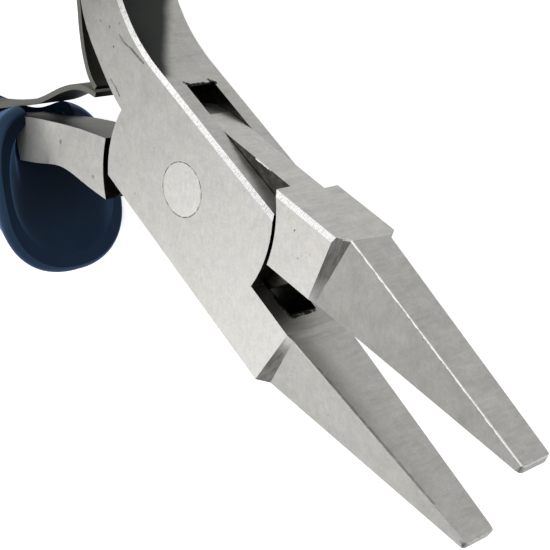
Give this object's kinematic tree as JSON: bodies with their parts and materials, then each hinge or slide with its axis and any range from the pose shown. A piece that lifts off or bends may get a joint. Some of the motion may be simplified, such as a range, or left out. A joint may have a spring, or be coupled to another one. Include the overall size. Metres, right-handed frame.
{
  "type": "flat nose pliers",
  "caption": "Jewellery-making flat nose pliers with a box joint, short smooth tapered jaws, riveted leaf springs and cushioned dark blue grips with finger guards.",
  "frame": {"origin": "on the pivot axis, in the plane of the joint's underside face", "axes": "+X from the handles to the jaw tips along the line between the two halves, +Y towards the upper jaw, +Z along the pivot axis out of the joint's upper face"},
  "size_m": [0.1276, 0.068, 0.0178],
  "materials": {
    "satin_steel": "satin ground steel with fine grain",
    "rivet_steel": "ground steel",
    "spring_steel": "plain spring strip",
    "blue_grip": "dark navy satin moulded cushion"
  },
  "bodies": {
    "box_half": {"box_half": "satin_steel", "pivot_rivet": "rivet_steel", "box_grip": "blue_grip", "box_spring_rivet": "rivet_steel"},
    "tongue_half": {"tongue_half": "satin_steel", "tongue_grip": "blue_grip", "tongue_spring_rivet": "rivet_steel"},
    "box_spring": {"box_spring": "spring_steel"},
    "tongue_spring": {"tongue_spring": "spring_steel"}
  },
  "joints": [
    {"name": "pivot", "type": "hinge", "parent": "box_half", "child": "tongue_half", "pos_m": [0, 0, 0.004], "axis": [0, 0, 1], "range_deg": [-12.3, 13], "stiffness_Nm_per_rad": 1.5},
    {"name": "box_spring_flex", "type": "hinge", "parent": "box_half", "child": "box_spring", "pos_m": [-0.04654, 0.02151, 0.004], "axis": [0, 0, 1], "range_deg": [-3.7, 3.6], "deforming": ["box_spring"]},
    {"name": "tongue_spring_flex", "type": "hinge", "parent": "tongue_half", "child": "tongue_spring", "pos_m": [-0.04654, -0.02151, 0.004], "axis": [0, 0, 1], "range_deg": [-3.6, 3.7], "deforming": ["tongue_spring"]}
  ],
  "couplings": [
    {"joint": "box_spring_flex", "follows": "pivot", "ratio": -0.2777},
    {"joint": "tongue_spring_flex", "follows": "pivot", "ratio": 0.2715}
  ]
}
